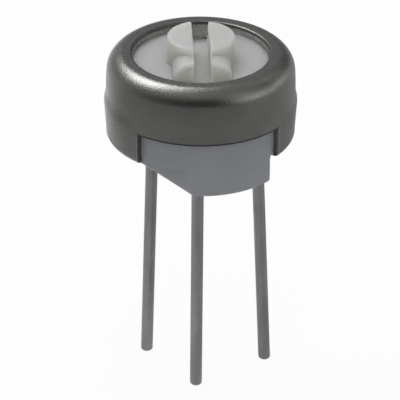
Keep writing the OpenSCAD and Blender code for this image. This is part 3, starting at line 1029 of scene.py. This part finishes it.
@dataclass
class Lead(Piece):
    """One round lead: upright in the base, leaning below the seat, with a rounded end.

    The lean is two turns in degrees, about the x axis and then about the y axis.
    """

    slot = "tinned_wire"
    finish = TINNED_WIRE

    node: str
    place: Pair
    lean: Pair
    radius: float = 0.255
    shank_r: float = 0.3
    taper: float = 0.6
    tip_h: float = 0.16
    top_z: float = 3.01
    bend_z: float = -0.15
    below: float = 9.65
    upper_rows: int = 8
    lower_rows: int = 60
    tip_rows: int = 14
    cols: int = 48
    sharp_angle: float = 60.0

    def build(self) -> bpy.types.Object:
        """Carry a circle along the lead's path.

        The path is upright above the bend and follows the leaning direction below it. The radius tapers from
        the shank to the lead, and over the last stretch it follows r times sqrt(1 - d squared), where d runs
        from 0 to 1, which gives the rounded end.

        Returns:
            The lead's object.
        """
        a, b = np.radians(self.lean)
        down = np.array([-math.cos(a) * math.sin(b), math.sin(a), -math.cos(a) * math.cos(b)])
        length = self.below + self.bend_z
        straight = length - self.tip_h
        tip = straight + self.tip_h * np.sin(np.radians(np.linspace(0.0, 90.0, self.tip_rows)))
        run = np.concatenate([np.linspace(self.bend_z - self.top_z, 0.0, self.upper_rows)[:-1],
                              np.linspace(0.0, straight, self.lower_rows)[:-1], tip])
        leaning = np.maximum(run, 0.0)[:, None] * down[None]
        upright = np.minimum(run, 0.0)[:, None] * np.array([[0.0, 0.0, -1.0]])
        middle = np.array([*self.place, self.bend_z]) + leaning + upright
        into = np.clip((run - straight) / self.tip_h, 0.0, 1.0)
        size = self.radius * np.sqrt(1.0 - into ** 2)
        size += (self.shank_r - self.radius) * (1.0 - smooth_step(run, 0.0, self.taper))
        # The first row is a point that closes the upper end
        size[0] = 0.0
        middle[1] = middle[0]
        t = np.linspace(0.0, 2.0 * np.pi, self.cols, endpoint=False)
        ring = np.stack([np.cos(t), np.sin(t), 0.0 * t], -1)
        points = middle[:, None] + size[:, None, None] * ring[None]
        shell = Shell()
        shell.add(points, grid_quads(len(run), self.cols, True)[:, ::-1])
        return shell.piece("lead_" + self.node[-1], self.sharp_angle)


@dataclass
class Inside:
    """The sealed pieces, which keep their CAD shapes and get their finishes."""

    finishes: Tuple[Tuple[str, Finish], ...] = (
        ("rotor_seal", SEAL_RUBBER),
        ("wiper", SPRING_METAL),
        ("element_substrate", ALUMINA),
        ("resistive_track", CERMET),
        ("termination_pads", SILVER_PRINT),
        ("collector", SILVER_PRINT),
        ("solder_joints", SOLDER),
    )

    def dress(self) -> None:
        """Give each carried-over CAD node its finish."""
        for node, finish in self.finishes:
            finish.put_on(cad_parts[node])
            LOG.info("%s keeps its shape in %s", node, finish.name)


@dataclass
class View:
    """The camera at the photograph's angle and framing: degrees, metres and, for the lens, millimetres."""

    azimuth: float = 7.4
    elevation: float = 28.47
    roll: float = 0.37
    distance: float = 0.15
    aim: Triple = (0.0, 0.0, -0.0021)
    lens: float = 319.95
    sensor: float = 36.0
    nearest: float = 0.001
    farthest: float = 20.0

    def way(self, right: float, away: float, up: float) -> Triple:
        """Turn a direction given as right, away from the camera and up into the part's frame."""
        c, s = math.cos(math.radians(self.azimuth)), math.sin(math.radians(self.azimuth))
        return (right * c - away * s, right * s + away * c, up)

    def build(self) -> None:
        """Make the camera."""
        data = bpy.data.cameras.new("camera")
        data.lens = self.lens
        data.sensor_width = self.sensor
        data.clip_start = self.nearest
        data.clip_end = self.farthest
        obj = bpy.data.objects.new("camera", data)
        e = math.radians(self.elevation)
        back = Vector(self.way(0.0, -math.cos(e), math.sin(e)))
        turn = (-back).to_track_quat("-Z", "Y").to_matrix().to_4x4()
        tilt = Matrix.Rotation(math.radians(self.roll), 4, "Z")
        obj.matrix_world = Matrix.Translation(Vector(self.aim) + back * self.distance) @ turn @ tilt
        bpy.context.scene.collection.objects.link(obj)
        bpy.context.scene.camera = obj


@dataclass
class Ground:
    """The pale floor: it takes the shadow, is white to the camera, and has uneven tones in mirrors.

    A fade is a pair of places in metres, where a tone starts to show and where it shows fully. Places are
    measured across to the right, away from the camera, or out from the part.
    """

    view: View
    z: float = -0.00966
    half_mm: float = 600.0
    rows: int = 5
    paint: float = 0.8
    glow: float = 0.94
    inner_tone: float = 0.67
    inner_across: Pair = (-0.004, 0.004)
    outer_tone: float = 0.67
    outer_out: Pair = (0.0175, 0.0225)
    beside_tone: float = 0.85
    beside_across: Pair = (-0.004, -0.016)
    beside_away: Pair = (-0.014, -0.006)
    left_tone: float = 0.58
    left_across: Pair = (-0.021, -0.025)
    front_tone: float = 0.42
    front_away: Pair = (-0.028, -0.05)
    left_back_across: Pair = (0.0, -0.005)
    left_back_away: Pair = (0.014, 0.022)
    right_back_tone: float = 0.42
    right_back_across: Pair = (0.003, 0.007)
    right_back_limit: Pair = (0.0235, 0.0195)
    right_back_away: Pair = (0.004, 0.009)

    def mirrored(self, graph: Graph) -> Socket:
        """Tone of the floor in mirrors.

        Args:
            graph: the floor's node tree.

        Returns:
            White near the part on the left and behind it, and greyer elsewhere.
        """
        place = graph.place()
        across = graph.along(place, self.view.way(1.0, 0.0, 0.0))
        away = graph.along(place, self.view.way(0.0, 1.0, 0.0))
        out = graph.node("VectorMath", {"operation": "LENGTH"}, {0: place}, 1)
        inner = graph.mix(graph.ramp(across, *self.inner_across), WHITE, grey(self.inner_tone))
        beside = graph.ramp(across, *self.beside_across) * graph.ramp(away, *self.beside_away)
        outer = graph.mix(beside, grey(self.outer_tone), grey(self.beside_tone))
        tone = graph.mix(graph.ramp(out, *self.outer_out), inner, outer)
        tone = graph.mix(graph.ramp(across, *self.left_across), tone, grey(self.left_tone))
        tone = graph.mix(graph.ramp(away, *self.front_away), tone, grey(self.front_tone))
        left_back = graph.ramp(away, *self.left_back_away) * graph.ramp(across, *self.left_back_across)
        tone = graph.mix(left_back, tone, WHITE)
        right_back = graph.ramp(away, *self.right_back_away) * graph.ramp(across, *self.right_back_across)
        right_back = right_back * graph.ramp(across, *self.right_back_limit)
        return graph.mix(right_back, tone, grey(self.right_back_tone))

    def build(self) -> None:
        """Make the floor as a flat grid, and give it its material."""
        side = np.linspace(-self.half_mm, self.half_mm, self.rows)
        x, y = np.meshgrid(side, side)
        shell = Shell()
        shell.add(np.stack([x, y, 0.0 * x + self.z / MM], -1), grid_quads(self.rows, self.rows, False))
        obj = shell.piece("floor")
        made = bpy.data.materials.new("pale_floor")
        made.use_nodes = True
        graph = Graph(made.node_tree)
        glossy = graph.ray("Glossy")
        seen = graph.math("MINIMUM", graph.ray("Camera") + glossy + graph.ray("Transmission"), 1.0)
        tone = graph.mix(glossy, WHITE, self.mirrored(graph))
        diffuse = graph.node("BsdfDiffuse", {}, {"Color": grey(self.paint)})
        white = graph.node("Emission", {}, {"Color": tone, "Strength": 1.0})
        both = graph.node("MixShader", {}, {0: seen * self.glow, 1: diffuse, 2: white})
        graph.node("OutputMaterial", {}, {"Surface": both})
        obj.data.materials.append(made)


@dataclass
class Surround:
    """The world: even light on lit surfaces, white to the camera, and uneven tones in mirrors.

    A fade is a pair of numbers, where a tone starts to show and where it shows fully, each the share of a
    direction that points up, across to the right, or near, which is towards the camera.
    """

    view: View
    ambient: float = 0.36
    plain: float = 0.5
    least: float = 0.1
    above_up: Pair = (0.5, 0.8)
    above_gain: float = 0.22
    left_across: Pair = (0.0, -0.8)
    left_gain: float = 0.3
    front_near: Pair = (-0.2, 0.5)
    front_loss: float = 0.43
    right_across: Pair = (0.0, 0.8)
    right_loss: float = 0.3
    low_up: Pair = (0.45, 0.15)
    low_loss: float = 0.15
    band_across: Pair = (0.6, 0.9)
    band_up: Pair = (0.45, 0.25)
    band_gain: float = 1.6

    def mirrored(self, graph: Graph) -> Socket:
        """Tone of the world in mirrors.

        Args:
            graph: the world's node tree.

        Returns:
            Paler above and on the left, darker low, in front and on the right, with a pale band there.
        """
        way = graph.node("TexCoord", output="Generated")
        up = graph.along(way, (0.0, 0.0, 1.0))
        near = graph.along(way, self.view.way(0.0, -1.0, 0.0))
        across = graph.along(way, self.view.way(1.0, 0.0, 0.0))
        above = graph.ramp(up, *self.above_up)
        sides = graph.ramp(near, *self.front_near) * self.front_loss
        sides = sides + graph.ramp(across, *self.right_across) * self.right_loss
        tone = self.plain + above * self.above_gain + graph.ramp(across, *self.left_across) * self.left_gain
        tone = tone - sides * (1.0 - above) - graph.ramp(up, *self.low_up) * self.low_loss
        band = graph.ramp(across, *self.band_across) * graph.ramp(up, *self.band_up)
        return graph.math("MAXIMUM", tone, self.least) + band * self.band_gain

    def build(self) -> None:
        """Make the world."""
        world = bpy.data.worlds.new("surround")
        world.use_nodes = True
        bpy.context.scene.world = world
        graph = Graph(world.node_tree)
        camera = graph.ray("Camera")
        glossy = graph.ray("Glossy")
        unseen = glossy * self.mirrored(graph) + (1.0 - glossy) * self.ambient
        sky = graph.node("Background", {}, {"Color": camera + (1.0 - camera) * unseen, "Strength": 1.0})
        graph.node("OutputWorld", {}, {"Surface": sky})


@dataclass
class Lamp:
    """A soft oblong light that faces the part, in metres and watts."""

    name: str
    towards: Triple
    distance: float
    size: Pair
    watts: float
    shows: Shows = Shows.BOTH
    aim: Triple = (0.0, 0.0, 0.003)

    def build(self) -> None:
        """Place the light at a distance in its direction from the aim point."""
        data = bpy.data.lights.new(self.name, "AREA")
        data.shape = "RECTANGLE"
        data.size, data.size_y = self.size
        data.energy = self.watts
        obj = bpy.data.objects.new(self.name, data)
        obj.visible_glossy = self.shows is not Shows.LIT
        obj.visible_diffuse = self.shows is not Shows.MIRROR
        way = Vector(self.towards).normalized()
        turn = way.to_track_quat("Z", "Y").to_matrix().to_4x4()
        obj.matrix_world = Matrix.Translation(Vector(self.aim) + way * self.distance) @ turn
        bpy.context.scene.collection.objects.link(obj)


@dataclass
class Studio:
    """Camera, floor, surround and lamps."""

    view: View

    def lamps(self) -> List[Lamp]:
        """List the lamps.

        Returns:
            Key and card behind on the left, kicker behind on the right, one overhead and two in front.
        """
        way = self.view.way
        return [
            Lamp("key", way(-0.44, 0.38, 0.80), 0.25, size=(0.17, 0.1), watts=0.2, shows=Shows.LIT),
            Lamp("card", way(-0.45, 0.34, 0.80), 0.25, size=(0.18, 0.15), watts=0.66, shows=Shows.MIRROR),
            Lamp("kicker", way(0.64, 0.45, 0.62), 0.25, size=(0.1, 0.1), watts=0.015),
            Lamp("overhead", (0.0, 0.0, 1.0), 0.25, size=(0.05, 0.3), watts=0.2, shows=Shows.LIT),
            Lamp("fill", way(0.75, -0.5, 0.45), 0.3, size=(0.2, 0.2), watts=0.12),
            Lamp("front", way(-0.25, -0.8, 0.55), 0.3, size=(0.25, 0.12), watts=0.1, shows=Shows.LIT),
        ]

    def build(self) -> None:
        """Make the whole studio and set the view transform."""
        self.view.build()
        Ground(self.view).build()
        Surround(self.view).build()
        for lamp in self.lamps():
            lamp.build()
        bpy.context.scene.view_settings.view_transform = "Standard"


def main() -> None:
    """Build the studio and every piece."""
    logging.basicConfig(level=logging.INFO, format="%(name)s: %(message)s")
    Studio(View()).build()
    layout = Layout()
    Cap(layout).dress()
    Base(layout).dress()
    Rotor(layout).dress()
    for number, (place, lean) in enumerate(zip(layout.lead_places, layout.lead_leans), 1):
        Lead("terminal_%d" % number, place, lean).dress()
    Inside().dress()


if __name__ == "__main__":
    main()
